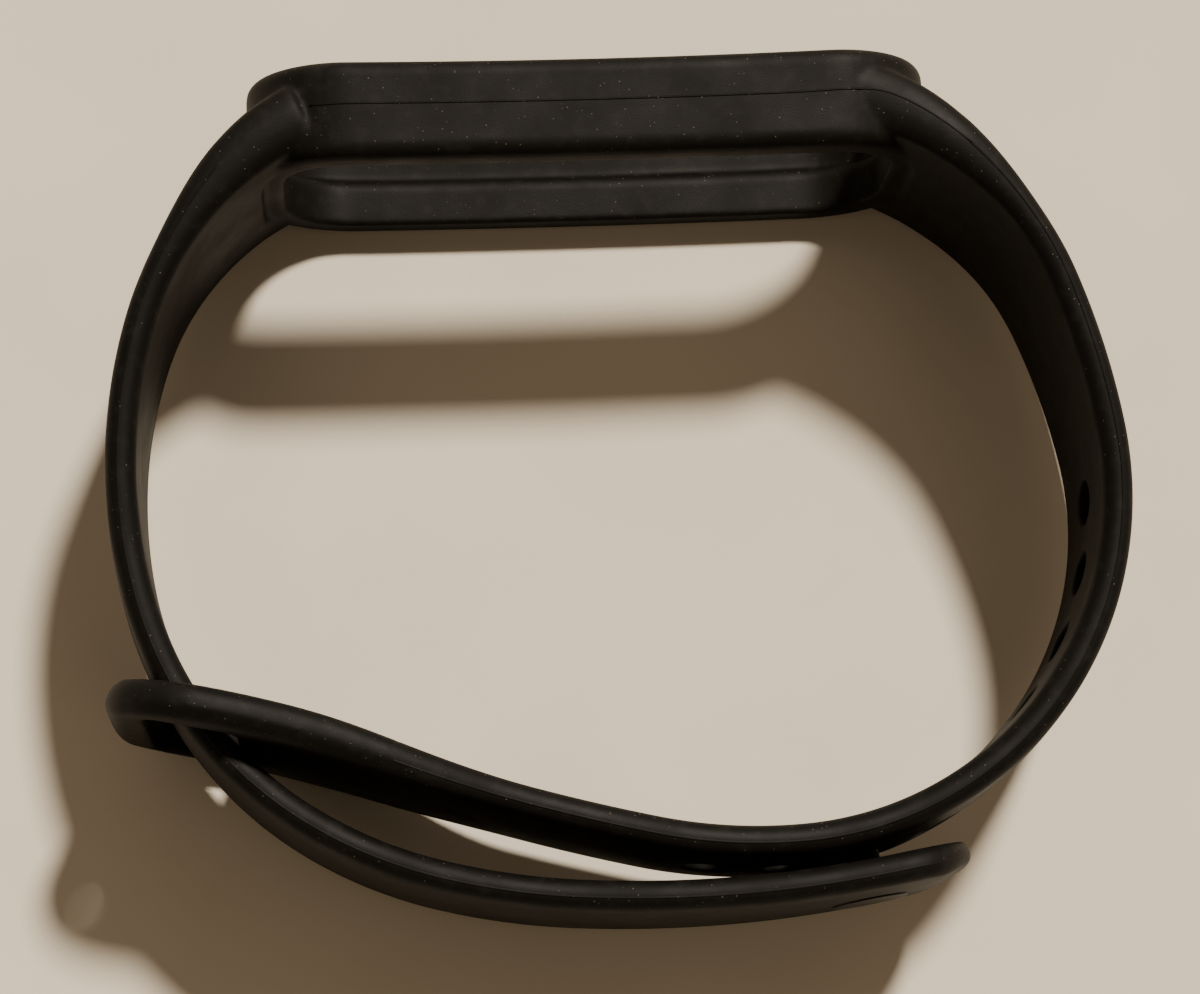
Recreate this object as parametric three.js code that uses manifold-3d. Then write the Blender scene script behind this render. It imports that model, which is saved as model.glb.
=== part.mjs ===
// Closed silicone wrist band with a capsule frame, a keeper loop and a stud closure.
// Units are millimetres, +Z is up, and the band stands on its long edge at z = 0.
// The band is one flexible moulding in life. Here it is cut into links at its flex lines,
// so that each link is a solid of its own that can turn against its neighbour.
import * as THREE from 'three';
import * as BufferGeometryUtils from 'three/addons/utils/BufferGeometryUtils.js';
import Module from 'manifold-3d';

const wasm = await Module();
wasm.setup();

// ---- driving dimensions ----
const FRAME_LENGTH = 45;        // capsule frame, outside, along X
const FRAME_WIDTH = 20;         // capsule frame, outside, along Z
const FRAME_DEPTH = 6.3;        // skin side to front bezel, along Y
const FRAME_CORNER = 7;         // corner radius of the frame's outline
const FRAME_EDGE = 1.0;         // rounding of the frame's four rims
const BEZEL_OPENING = [41.0, 16.0];     // front lip, length and width
const SEAT_OPENING = [40.2, 15.2];      // back ledge that the capsule rests against
const BAY = [42.2, 17.2];               // the pocket between the lip and the ledge
const LIP_DEPTH = 1.0;          // front lip, along Y
const LEDGE_DEPTH = 3.1;        // back ledge, along Y

const STRAP_THICKNESS = 2.25;
const ROOT_THICKNESS = 3.6;
const ROOT_TAPER = 16;          // length over which the root thins to the strap
const ROOT_WIDTH = 19.4;
const WIDTH_TAPER = 38;         // length over which the root narrows to the strap
const STRAP_EDGE = 0.95;        // rounding of the straps' long edges
const HOLE_STRAP_WIDTH = 15;
const STUD_STRAP_WIDTH = 14.5;
const LINK_GAP = 0.3;           // clearance between two links

const HOLE_COUNT = 9;
const FIRST_HOLE = 32;          // distance of the first hole from the strap's start
const HOLE_PITCH = 5;
const HOLE_LENGTH = 3.0;        // along the strap
const HOLE_WIDTH = 4.2;         // across the strap
const STUD_HOLE = 6;            // index of the hole that holds the stud
const STUD_HOLE_STRETCH = 1.0;  // how much longer that hole is while the stud fills it

const FLARE_START = 84;         // where the hole strap begins to widen towards its loop
const FLARE_END = 100;
const LOOP_START = 95;          // where the keeper loop's own solid starts
const LOOP_END = 112;
const LOOP_THICKNESS = 2.8;
const LOOP_CORNER = 6;
const NOSE_LEAST = 0.9;         // thickness of the flat at the loop's very end
const SLOT_START = 101;
const SLOT_END = 109.2;
const SLOT_WIDTH = 15.3;
const SLOT_EDGE = 0.05;         // rounding of the slot cutter, well outside the loop

const TAIL_TIP = 99;            // free end of the stud strap
const TIP_ROUND = 5.2;          // length of the rounded end
const TIP_TAPER = 3;            // length over which the outer side thins
const TIP_THINNING = 0.7;       // how much it thins by
const TIP_LEAST_WIDTH = 2.2;    // width of the flat at the very end
const STUD_AT = 92;             // distance of the stud from the strap's start
const CAP_RADIUS = 2.5;
const CAP_HEIGHT = 0.35;
const POST_RADIUS = 1.2;
const HEAD_RADIUS = 1.5;
const HEAD_HEIGHT = 1.2;
const HEAD_PROUD = 0.35;        // how far the head stands out of the hole

// Each strap leaves the frame at START with a heading, then runs through arcs of
// [length, turn in degrees]. A positive turn is to the left of the direction of travel.
const STRAP_START = 17.85;
const HOLE_STRAP = {
  start: [STRAP_START, 0],
  heading: -18.5,
  outer: 1,
  width: HOLE_STRAP_WIDTH,
  arcs: [[18, -50.5], [10, -12], [20, -50], [18, -45.5], [10, -17], [18, -7.5], [18, 13]],
};
const STUD_STRAP = {
  start: [-STRAP_START, 0],
  heading: 200,
  outer: -1,
  width: STUD_STRAP_WIDTH,
  arcs: [[9, 29.5], [9, 22.5], [19, 33], [18, 42], [9, 17.5], [9, 11], [26, 18]],
};
const HOLE_STRAP_CUTS = [0, 10, 22, 34.5, 49.5, 64.5, 79.5, LOOP_START];
const STUD_STRAP_CUTS = [0, 9, 20, 31, 41, 54, 62, 70, 78, TAIL_TIP];

const MID_HEIGHT = FRAME_WIDTH / 2;
const ARC_STEP = 1.9;           // length of one facet along a strap
const TIP_STEP = 0.8;           // the same along the tip
const LOOP_STEP = 0.95;         // and along the keeper loop
const SLOT_STEP = 2.5;          // and along the slot's cutter
const CORNER_STEPS = 7;         // facets round one corner of the frame
const CUTTER_REACH = 4;         // how far a cutter stands out on each side of a strap

// ---- materials ----
const silicone = new THREE.MeshStandardMaterial({ color: 0x1b1a19, roughness: 0.62, metalness: 0 });
const studPlastic = new THREE.MeshStandardMaterial({ color: 0x151515, roughness: 0.45, metalness: 0 });

// ---- small helpers ----
function smoothStep(value) {
  const t = THREE.MathUtils.clamp(value, 0, 1);
  return t * t * (3 - 2 * t);
}

function mergedSolid(geometry) {
  const bare = geometry.index ? geometry.toNonIndexed() : geometry.clone();
  bare.deleteAttribute('normal');
  bare.deleteAttribute('uv');
  const merged = BufferGeometryUtils.mergeVertices(bare, 1e-4);
  return new wasm.Manifold(new wasm.Mesh({
    numProp: 3,
    vertProperties: merged.attributes.position.array,
    triVerts: merged.index.array,
  }));
}

function geometryOf(solid) {
  const mesh = solid.getMesh();
  const geometry = new THREE.BufferGeometry();
  geometry.setAttribute('position', new THREE.BufferAttribute(mesh.vertProperties, 3));
  geometry.setIndex(new THREE.BufferAttribute(mesh.triVerts, 1));
  geometry.computeVertexNormals();
  return geometry;
}

function cut(body, tools) {
  let solid = mergedSolid(body);
  for (const tool of tools) {
    solid = solid.subtract(mergedSolid(tool));
  }
  return geometryOf(solid);
}

function named(name, geometry, material) {
  const mesh = new THREE.Mesh(geometry, material);
  mesh.name = name;
  return mesh;
}

// ---- the straps' centre lines ----
// Place and heading at a distance along a strap. Past the last arc it runs straight on.
function pointOn(strap, distance) {
  let [x, y] = strap.start;
  let heading = THREE.MathUtils.degToRad(strap.heading);
  let left = distance;
  for (const [length, turnDegrees] of strap.arcs) {
    if (left <= 0) break;
    const run = Math.min(left, length);
    const turn = THREE.MathUtils.degToRad(turnDegrees) * run / length;
    const chord = run * Math.sin(turn / 2) / (turn / 2);
    x += chord * Math.cos(heading + turn / 2);
    y += chord * Math.sin(heading + turn / 2);
    heading += turn;
    left -= run;
  }
  x += Math.max(left, 0) * Math.cos(heading);
  y += Math.max(left, 0) * Math.sin(heading);
  return { x, y, heading };
}

// A point of a strap: distance along it, depth towards the outer side, height above the base.
function bend(strap, distance, depth, height) {
  const { x, y, heading } = pointOn(strap, distance);
  const side = strap.outer * depth;
  return new THREE.Vector3(x - side * Math.sin(heading), y + side * Math.cos(heading), height);
}

// ---- cross sections ----
// Corner points of a rounded rectangle, as [height from the middle, depth], anticlockwise.
function roundedSection(width, inner, outer, radius) {
  const cornerSteps = 3;
  const r = Math.min(radius, (outer - inner) / 2 - 0.02, width / 2 - 0.02);
  const corners = [
    [width / 2 - r, outer - r, 0],
    [-width / 2 + r, outer - r, 1],
    [-width / 2 + r, inner + r, 2],
    [width / 2 - r, inner + r, 3],
  ];
  const points = [];
  for (const [z, depth, quarter] of corners) {
    for (let step = 0; step <= cornerSteps; step += 1) {
      const angle = (quarter + step / cornerSteps) * Math.PI / 2;
      points.push([z + r * Math.cos(angle), depth + r * Math.sin(angle)]);
    }
  }
  return points;
}

// How far the hole strap has opened out into its loop, from 0 to 1.
function flare(distance) {
  return smoothStep((distance - FLARE_START) / (FLARE_END - FLARE_START));
}

function strapWidth(strap, distance) {
  const narrow = THREE.MathUtils.lerp(ROOT_WIDTH, strap.width, smoothStep(distance / WIDTH_TAPER));
  if (strap === HOLE_STRAP) return THREE.MathUtils.lerp(narrow, FRAME_WIDTH, flare(distance));
  const fromTip = TAIL_TIP - distance;
  if (fromTip >= TIP_ROUND) return narrow;
  const round = 1 - fromTip / TIP_ROUND;
  return Math.max(narrow * Math.sqrt(Math.max(1 - round * round, 0)), TIP_LEAST_WIDTH);
}

function strapSection(strap, distance) {
  let thickness = THREE.MathUtils.lerp(
    ROOT_THICKNESS, STRAP_THICKNESS, smoothStep(distance / ROOT_TAPER));
  if (strap === HOLE_STRAP) {
    thickness = THREE.MathUtils.lerp(thickness, LOOP_THICKNESS, flare(distance));
  }
  const inner = -thickness / 2;
  let outer = thickness / 2;
  const fromTip = TAIL_TIP - distance;
  if (strap === STUD_STRAP && fromTip < TIP_TAPER) {
    outer -= TIP_THINNING * (1 - fromTip / TIP_TAPER);
  }
  return roundedSection(strapWidth(strap, distance), inner, outer, STRAP_EDGE);
}

// ---- lofted strap links ----
function loft(strap, from, to, sectionAt, step = ARC_STEP) {
  const stations = Math.max(2, Math.round((to - from) / step));
  const positions = [];
  const index = [];
  let ring = 0;
  for (let i = 0; i <= stations; i += 1) {
    const distance = from + (to - from) * i / stations;
    const section = sectionAt(distance);
    ring = section.length;
    for (const [z, depth] of section) {
      positions.push(...bend(strap, distance, depth, MID_HEIGHT + z).toArray());
    }
  }
  const flip = strap.outer > 0;
  const face = (a, b, c) => (flip ? index.push(a, c, b) : index.push(a, b, c));
  for (let i = 0; i < stations; i += 1) {
    for (let k = 0; k < ring; k += 1) {
      const next = (k + 1) % ring;
      const a = i * ring + k;
      const b = i * ring + next;
      face(a, b, b + ring);
      face(a, b + ring, a + ring);
    }
  }
  for (let k = 1; k < ring - 1; k += 1) {
    face(0, k + 1, k);
    const last = stations * ring;
    face(last, last + k, last + k + 1);
  }
  const geometry = new THREE.BufferGeometry();
  geometry.setAttribute('position', new THREE.Float32BufferAttribute(positions, 3));
  geometry.setIndex(index);
  return geometry;
}

function ovalShape(length, width) {
  const shape = new THREE.Shape();
  shape.absellipse(0, 0, length / 2, width / 2, 0, 2 * Math.PI);
  return shape;
}

// A cutter through the strap at one distance, standing along the strap's depth.
function prismThrough(strap, distance, shape) {
  const { x, y, heading } = pointOn(strap, distance);
  const geometry = new THREE.ExtrudeGeometry(shape, {
    depth: 2 * CUTTER_REACH, bevelEnabled: false, curveSegments: 14,
  });
  const along = new THREE.Vector3(Math.cos(heading), Math.sin(heading), 0);
  const outward = new THREE.Vector3(-Math.sin(heading), Math.cos(heading), 0);
  outward.multiplyScalar(strap.outer);
  const across = new THREE.Vector3().crossVectors(outward, along);
  const placed = new THREE.Matrix4().makeBasis(along, across, outward);
  placed.setPosition(x - outward.x * CUTTER_REACH, y - outward.y * CUTTER_REACH, MID_HEIGHT);
  geometry.applyMatrix4(placed);
  return geometry;
}

function holeDistance(number) {
  return FIRST_HOLE + number * HOLE_PITCH;
}

function holesBetween(from, to) {
  const tools = [];
  for (let number = 0; number < HOLE_COUNT; number += 1) {
    const distance = holeDistance(number);
    if (distance < from || distance > to) continue;
    const stretch = number === STUD_HOLE ? STUD_HOLE_STRETCH : 0;
    const oval = ovalShape(HOLE_LENGTH + stretch, HOLE_WIDTH);
    tools.push(prismThrough(HOLE_STRAP, distance, oval));
  }
  return tools;
}

// ---- capsule frame ----
// The frame's outline moved outward by `grow`, as [x, z] round the middle, anticlockwise.
function outlinePoints(grow) {
  const radius = FRAME_CORNER + grow;
  const x = FRAME_LENGTH / 2 + grow - radius;
  const z = FRAME_WIDTH / 2 + grow - radius;
  const points = [];
  for (const [cornerX, cornerZ, quarter] of [[x, -z, -1], [x, z, 0], [-x, z, 1], [-x, -z, 2]]) {
    for (let i = 0; i <= CORNER_STEPS; i += 1) {
      const angle = (quarter + i / CORNER_STEPS) * Math.PI / 2;
      points.push([cornerX + radius * Math.cos(angle), cornerZ + radius * Math.sin(angle)]);
    }
  }
  return points;
}

// The frame's wall as one closed profile: [inset from the outline, Y].
function frameProfile() {
  const half = FRAME_DEPTH / 2;
  const lip = (FRAME_WIDTH - BEZEL_OPENING[1]) / 2;
  const ledge = (FRAME_WIDTH - SEAT_OPENING[1]) / 2;
  const pocket = (FRAME_WIDTH - BAY[1]) / 2;
  return [
    [0, half - FRAME_EDGE],
    [FRAME_EDGE * 0.3, half - FRAME_EDGE * 0.3],
    [FRAME_EDGE, half],
    [lip, half],
    [lip, half - LIP_DEPTH],
    [pocket, half - LIP_DEPTH],
    [pocket, -half + LEDGE_DEPTH],
    [ledge, -half + LEDGE_DEPTH],
    [ledge, -half + FRAME_EDGE * 0.4],
    [ledge - FRAME_EDGE * 0.4, -half],
    [FRAME_EDGE, -half],
    [FRAME_EDGE * 0.3, -half + FRAME_EDGE * 0.3],
    [0, -half + FRAME_EDGE],
  ];
}

function frameGeometry() {
  const profile = frameProfile();
  const positions = [];
  const index = [];
  for (const [inset, y] of profile) {
    for (const [x, z] of outlinePoints(-inset)) positions.push(x, y, MID_HEIGHT + z);
  }
  const ring = 4 * (CORNER_STEPS + 1);
  for (let row = 0; row < profile.length; row += 1) {
    const nextRow = (row + 1) % profile.length;
    for (let k = 0; k < ring; k += 1) {
      const next = (k + 1) % ring;
      index.push(row * ring + k, nextRow * ring + next, row * ring + next);
      index.push(row * ring + k, nextRow * ring + k, nextRow * ring + next);
    }
  }
  const geometry = new THREE.BufferGeometry();
  geometry.setAttribute('position', new THREE.Float32BufferAttribute(positions, 3));
  geometry.setIndex(index);
  return geometry;
}

// The frame's outline with the link gap around it, to trim the strap roots.
function frameClearance() {
  const shape = new THREE.Shape();
  shape.setFromPoints(outlinePoints(LINK_GAP).map(([x, z]) => new THREE.Vector2(x, z)));
  const depth = 3 * FRAME_DEPTH;
  const geometry = new THREE.ExtrudeGeometry(shape, { depth, bevelEnabled: false });
  geometry.rotateX(Math.PI / 2);
  geometry.translate(0, depth / 2, MID_HEIGHT);
  return geometry;
}

// ---- links of each strap ----
function plainLink(strap, from, to, tools = []) {
  const start = from === 0 ? 0 : from + LINK_GAP / 2;
  const end = to === TAIL_TIP && strap === STUD_STRAP ? to : to - LINK_GAP / 2;
  const step = end === TAIL_TIP ? TIP_STEP : ARC_STEP;
  return cut(loft(strap, start, end, (distance) => strapSection(strap, distance), step), tools);
}

function holeStrapLink(number) {
  const from = HOLE_STRAP_CUTS[number];
  const to = HOLE_STRAP_CUTS[number + 1];
  const tools = number === 0 ? [frameClearance()] : holesBetween(from, to);
  return plainLink(HOLE_STRAP, from, to, tools);
}

function studStrapLink(number) {
  const from = STUD_STRAP_CUTS[number];
  const to = STUD_STRAP_CUTS[number + 1];
  const tools = [];
  if (number === 0) tools.push(frameClearance());
  if (to === TAIL_TIP) {
    const bore = POST_RADIUS + LINK_GAP;
    tools.push(prismThrough(STUD_STRAP, STUD_AT, ovalShape(2 * bore, 2 * bore)));
  }
  return plainLink(STUD_STRAP, from, to, tools);
}

// ---- keeper loop ----
function loopWidth(distance) {
  const full = strapWidth(HOLE_STRAP, distance);
  const fromEnd = LOOP_END - distance;
  if (fromEnd >= LOOP_CORNER) return full;
  const inward = LOOP_CORNER - fromEnd;
  const drop = LOOP_CORNER - Math.sqrt(Math.max(LOOP_CORNER ** 2 - inward ** 2, 0));
  return full - 2 * drop;
}

function loopSection(distance) {
  let thickness = THREE.MathUtils.lerp(STRAP_THICKNESS, LOOP_THICKNESS, flare(distance));
  const fromEnd = LOOP_END - distance;
  const noseRadius = LOOP_THICKNESS / 2;
  if (fromEnd < noseRadius) {
    const inward = noseRadius - fromEnd;
    thickness = Math.max(2 * Math.sqrt(Math.max(noseRadius ** 2 - inward ** 2, 0)), NOSE_LEAST);
  }
  return roundedSection(loopWidth(distance), -thickness / 2, thickness / 2, thickness / 2);
}

// The slot runs right through the loop and follows its curve.
function slotSection() {
  return roundedSection(SLOT_WIDTH, -CUTTER_REACH, CUTTER_REACH, SLOT_EDGE);
}

function keeperLoop() {
  const body = loft(HOLE_STRAP, LOOP_START + LINK_GAP / 2, LOOP_END, loopSection, LOOP_STEP);
  const slot = loft(HOLE_STRAP, SLOT_START, SLOT_END, slotSection, SLOT_STEP);
  return cut(body, [slot]);
}

// ---- stud ----
// Turned pieces stand on the stud's axis: the axis runs inward from the outer face.
function turnedStudPiece(profile) {
  const points = profile.map(([radius, depth]) => new THREE.Vector2(radius, depth));
  const geometry = new THREE.LatheGeometry(points, 20);
  const { x, y, heading } = pointOn(STUD_STRAP, STUD_AT);
  geometry.rotateZ(heading - Math.PI);
  geometry.translate(x, y, MID_HEIGHT);
  return geometry;
}

function studCap() {
  const seat = STRAP_THICKNESS / 2 + LINK_GAP;
  return turnedStudPiece([
    [0, seat],
    [CAP_RADIUS, seat],
    [CAP_RADIUS, seat + CAP_HEIGHT * 0.4],
    [CAP_RADIUS * 0.85, seat + CAP_HEIGHT * 0.85],
    [0, seat + CAP_HEIGHT],
  ]);
}

function studPost() {
  const outerEnd = STRAP_THICKNESS / 2;
  const holeMiddle = pointOn(HOLE_STRAP, holeDistance(STUD_HOLE));
  const tail = pointOn(STUD_STRAP, STUD_AT);
  const spacing = Math.hypot(holeMiddle.x - tail.x, holeMiddle.y - tail.y);
  const headTip = -spacing - STRAP_THICKNESS / 2 - HEAD_PROUD;
  const headBase = headTip + HEAD_HEIGHT;
  return turnedStudPiece([
    [0, headTip],
    [HEAD_RADIUS * 0.6, headTip],
    [HEAD_RADIUS, headTip + HEAD_HEIGHT * 0.55],
    [HEAD_RADIUS, headTip + HEAD_HEIGHT * 0.9],
    [POST_RADIUS, headBase],
    [POST_RADIUS, outerEnd],
    [0, outerEnd],
  ]);
}

// ---- assembly ----
const band = new THREE.Group();
band.add(named('capsule_frame', frameGeometry(), silicone.clone()));

for (let number = 0; number < HOLE_STRAP_CUTS.length - 1; number += 1) {
  const name = number === 0 ? 'hole_strap_root' : `hole_strap_link_${number}`;
  band.add(named(name, holeStrapLink(number), silicone.clone()));
}
band.add(named('keeper_loop', keeperLoop(), silicone.clone()));

for (let number = 0; number < STUD_STRAP_CUTS.length - 1; number += 1) {
  const isTip = STUD_STRAP_CUTS[number + 1] === TAIL_TIP;
  const plain = number === 0 ? 'stud_strap_root' : `stud_strap_link_${number}`;
  band.add(named(isTip ? 'stud_strap_tip' : plain, studStrapLink(number), silicone.clone()));
}
band.add(named('stud_cap', studCap(), studPlastic.clone()));
band.add(named('stud_post', studPost(), studPlastic.clone()));

// The origin is at the middle of the base of the band's bounding box.
const box = new THREE.Box3().setFromObject(band);
const middle = box.getCenter(new THREE.Vector3());
band.position.set(-middle.x, -middle.y, -box.min.z);

export default band;
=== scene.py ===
import math

import bmesh
import bpy
import numpy as np
from mathutils import Matrix, Vector


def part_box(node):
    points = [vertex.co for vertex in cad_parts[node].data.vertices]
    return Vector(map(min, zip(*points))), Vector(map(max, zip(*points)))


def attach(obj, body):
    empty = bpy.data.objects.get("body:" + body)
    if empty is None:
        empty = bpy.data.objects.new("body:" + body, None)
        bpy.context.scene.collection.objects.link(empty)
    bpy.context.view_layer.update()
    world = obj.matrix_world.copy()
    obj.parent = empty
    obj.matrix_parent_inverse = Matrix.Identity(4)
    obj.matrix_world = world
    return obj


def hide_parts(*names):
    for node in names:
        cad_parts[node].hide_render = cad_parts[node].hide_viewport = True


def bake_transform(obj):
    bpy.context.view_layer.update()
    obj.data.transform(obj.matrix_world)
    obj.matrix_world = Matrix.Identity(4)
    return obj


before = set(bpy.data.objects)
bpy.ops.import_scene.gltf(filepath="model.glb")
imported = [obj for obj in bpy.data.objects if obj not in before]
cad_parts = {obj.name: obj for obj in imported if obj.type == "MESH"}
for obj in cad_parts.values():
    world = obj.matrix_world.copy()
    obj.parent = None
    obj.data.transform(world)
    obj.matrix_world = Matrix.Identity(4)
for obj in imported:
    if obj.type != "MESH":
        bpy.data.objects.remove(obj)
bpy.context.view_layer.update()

# Lengths in this script are millimetres in the frame's own directions, with the origin at the
# middle of the capsule frame. to_row() turns them into metres in the row frame.
MM = 0.001
FRAME_LOW, FRAME_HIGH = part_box("capsule_frame")
FRAME_MIDDLE = (FRAME_LOW + FRAME_HIGH) / 2
FRAME_SIZE = (FRAME_HIGH - FRAME_LOW) / MM

# ---- driving dimensions ----
FRAME_LENGTH, FRAME_DEPTH, FRAME_WIDTH = FRAME_SIZE
FRAME_CORNER = 7.0
ROOT_WIDTH = 19.4
ROOT_THICKNESS = 3.6
ROOT_TAPER = 16.0
ROOT_SWELL, SWELL_LENGTH = 1.1, 14.0     # extra thickness of a root on its outer side
WIDTH_TAPER = 38.0
STRAP_THICKNESS = 2.25
EDGE_DEPTH = 1.0                # how far the rounded long edge reaches into the face
OUTER_CROWN = 0.16              # how much lower the outer face is beside its edges
INNER_CROWN = 0.05

HOLE_COUNT = 9
FIRST_HOLE = 32.0
HOLE_PITCH = 5.0
HOLE_LENGTH, HOLE_WIDTH = 3.0, 4.2
STUD_HOLE, STUD_HOLE_STRETCH = 6, 1.0
HOLE_LIP = 0.28                 # rounding of a hole's rim
HOLE_ZONE = 3.2                 # half the width of the patch that surrounds a hole
HOLE_CELLS = 16

FLARE_START, FLARE_END = 84.0, 100.0
LOOP_END = 112.0
LOOP_THICKNESS = 2.8
LOOP_CORNER = 6.0
SLOT_START, SLOT_END, SLOT_WIDTH = 103.1, 109.2, 15.3

TAIL_TIP = 99.0
TIP_ROUND, TIP_TAPER, TIP_THINNING = 5.2, 3.0, 0.7
TIP_NOSE = 0.8                  # length over which the tip's thickness rounds off
STUD_AT = 92.0
CAP_RADIUS, CAP_HEIGHT = 2.5, 0.1
POST_RADIUS, HEAD_RADIUS, HEAD_HEIGHT, HEAD_PROUD = 1.2, 1.5, 1.2, 0.35

STATION_STEP = 0.4
TOLERANCE = 0.01                # distances along a strap that differ by less are the same
FINE_VOXEL = 0.2 * MM

MOULD_LINE_ANGLE = 8.0          # level of the straps' mould line on the long edge, in degrees
MOULD_LINE_SPREAD = 2.2         # its width in the same degrees
MOULD_LINE_HEIGHT = 0.055


def to_row(points):
    """Millimetres about the frame's middle to metres in the row frame; z is from the middle."""
    return np.asarray(points, float) * MM + np.array(FRAME_MIDDLE)


# ---- the straps' centre lines: arcs of (length, turn in degrees), as the CAD has them ----
class Strap:
    """A strap's centre line, its width and which side of it is the outside."""

    TABLE_STEP = 0.05
    BATCH = 4000                # points compared with the table at a time

    def __init__(self, start_x, heading, arcs, outer, width):
        self.outer, self.width = outer, width
        self.is_tail = outer < 0
        x, y, angle = start_x, 0.0, math.radians(heading)
        rows = [(0.0, x, y, angle)]
        travelled = 0.0
        for length, turn in arcs:
            count = round(length / self.TABLE_STEP)
            step, bend = length / count, math.radians(turn) / count
            for _ in range(count):
                x += step * math.cos(angle + bend / 2)
                y += step * math.sin(angle + bend / 2)
                angle += bend
                travelled += step
                rows.append((travelled, x, y, angle))
        self.table = np.array(rows)

    def at(self, s):
        """x, y and heading at each distance. Beyond either end the line runs straight on."""
        s = np.asarray(s, float)
        x, y, angle = (np.interp(s, self.table[:, 0], self.table[:, k]) for k in (1, 2, 3))
        beyond = np.where(s < 0, s, np.where(s > self.table[-1, 0], s - self.table[-1, 0], 0))
        return x + beyond * np.cos(angle), y + beyond * np.sin(angle), angle

    def place(self, s, depth, z):
        """Points at distance s, depth towards the outer side and height z from the middle."""
        x, y, angle = self.at(s)
        side = self.outer * np.asarray(depth, float)
        return np.stack(np.broadcast_arrays(
            x - side * np.sin(angle), y + side * np.cos(angle), z), -1)

    def point(self, s, depth=0.0, z=0.0):
        """One such point in the row frame, as a tuple."""
        return tuple(to_row(self.place(s, depth, z)))

    def unbend(self, points):
        """Distance, depth and height of points near the centre line."""
        line = self.table[:, 1:3]
        nearest = np.empty(len(points), int)
        for first in range(0, len(points), self.BATCH):
            part = points[first:first + self.BATCH, None, :2] - line[None]
            nearest[first:first + self.BATCH] = (part ** 2).sum(2).argmin(1)
        s, x, y, angle = self.table[nearest].T
        dx, dy = points[:, 0] - x, points[:, 1] - y
        along = dx * np.cos(angle) + dy * np.sin(angle)
        depth = self.outer * (-dx * np.sin(angle) + dy * np.cos(angle))
        return s + along, depth, points[:, 2]


STRAP_START = 17.85
HOLE_STRAP = Strap(
    STRAP_START, -18.5,
    [(18, -50.5), (10, -12), (20, -50), (18, -45.5), (10, -17), (18, -7.5), (18, 13)],
    outer=1, width=15.0)
STUD_STRAP = Strap(
    -STRAP_START, 200,
    [(9, 29.5), (9, 22.5), (19, 33), (18, 42), (9, 17.5), (9, 11), (26, 18)],
    outer=-1, width=14.5)


def smooth_step(value):
    t = np.clip(value, 0, 1)
    return t * t * (3 - 2 * t)


def mix(a, b, t):
    return a + (b - a) * t


# ---- the straps' cross section ----
def strap_shape(strap, s):
    """Half width, inner depth and outer depth of a strap at distance s."""
    half = mix(ROOT_WIDTH, strap.width, smooth_step(s / WIDTH_TAPER)) / 2
    thickness = mix(ROOT_THICKNESS, STRAP_THICKNESS, smooth_step(s / ROOT_TAPER))
    if not strap.is_tail:
        flare = smooth_step((s - FLARE_START) / (FLARE_END - FLARE_START))
        half = mix(half, FRAME_WIDTH / 2, flare)
        thickness = mix(thickness, LOOP_THICKNESS, flare)
    inner, outer = -thickness / 2, thickness / 2
    outer += ROOT_SWELL * (1 - smooth_step(s / SWELL_LENGTH))
    from_tip = TAIL_TIP - s
    if strap.is_tail and from_tip < TIP_ROUND:
        half *= math.sqrt(max(1 - (1 - from_tip / TIP_ROUND) ** 2, 0))
    if strap.is_tail and from_tip < TIP_TAPER:
        outer -= TIP_THINNING * smooth_step(1 - from_tip / TIP_TAPER)
    if strap.is_tail and from_tip < TIP_NOSE:
        rounding = math.sqrt(max(1 - (1 - from_tip / TIP_NOSE) ** 2, 0.01))
        centre, rise = (inner + outer) / 2, (outer - inner) / 2 * rounding
        inner, outer = centre - rise, centre + rise
    return half, inner, outer


def edge_angles():
    """Angles round a long edge, from the outer face to the inner one, closer at the mould line."""
    plain = np.linspace(90, -90, 19)
    near_line = MOULD_LINE_ANGLE + np.array([-9, -6, -4, -2.5, -1.2, 0, 1.2, 2.5, 4, 6, 9])
    kept = plain[np.abs(plain - MOULD_LINE_ANGLE) > 11]
    return np.radians(np.sort(np.concatenate([kept, near_line]))[::-1])


EDGE_ANGLES = edge_angles()
SIDE_CELLS = 7                  # cells of a face between its edge and the patch for the holes


def section(half, inner, outer):
    """One ring of a strap as (z, depth): outer face, far edge, inner face, near edge."""
    # Both shrink with the strap where the tail runs out to its rounded tip.
    reach = min(EDGE_DEPTH, half * 0.45)
    flat = half - reach
    zone = min(HOLE_ZONE, flat * 0.6)
    low_side = np.linspace(-flat, -zone, SIDE_CELLS + 1)[:-1]
    middle = np.linspace(-zone, zone, HOLE_CELLS + 1)
    columns = np.concatenate([low_side, middle, -low_side[::-1]])
    centre, rise = (inner + outer) / 2, (outer - inner) / 2
    crown = (columns / max(flat, 0.1)) ** 2
    top = outer - OUTER_CROWN * rise * crown
    bottom = inner + INNER_CROWN * rise * crown
    bump = MOULD_LINE_HEIGHT * np.exp(
        -((np.degrees(EDGE_ANGLES) - MOULD_LINE_ANGLE) / MOULD_LINE_SPREAD) ** 2)
    depth = np.where(EDGE_ANGLES > 0, top[-1] - centre, centre - bottom[-1]) * np.sin(EDGE_ANGLES)
    across = flat + (reach + bump) * np.cos(EDGE_ANGLES)
    edge = np.stack([across, centre + depth], 1)[1:-1]
    face_out = np.stack([columns, top], 1)
    face_in = np.stack([columns, bottom], 1)
    other = edge[::-1] * [-1, 1]
    return np.concatenate([face_out, edge, face_in[::-1], other])


# Where the patch for a hole begins in a ring, on the outer face and on the inner one.
COLUMNS = 2 * SIDE_CELLS + HOLE_CELLS + 1
OUTER_FIRST = SIDE_CELLS
INNER_FIRST = COLUMNS + len(EDGE_ANGLES) - 2 + SIDE_CELLS


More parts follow.
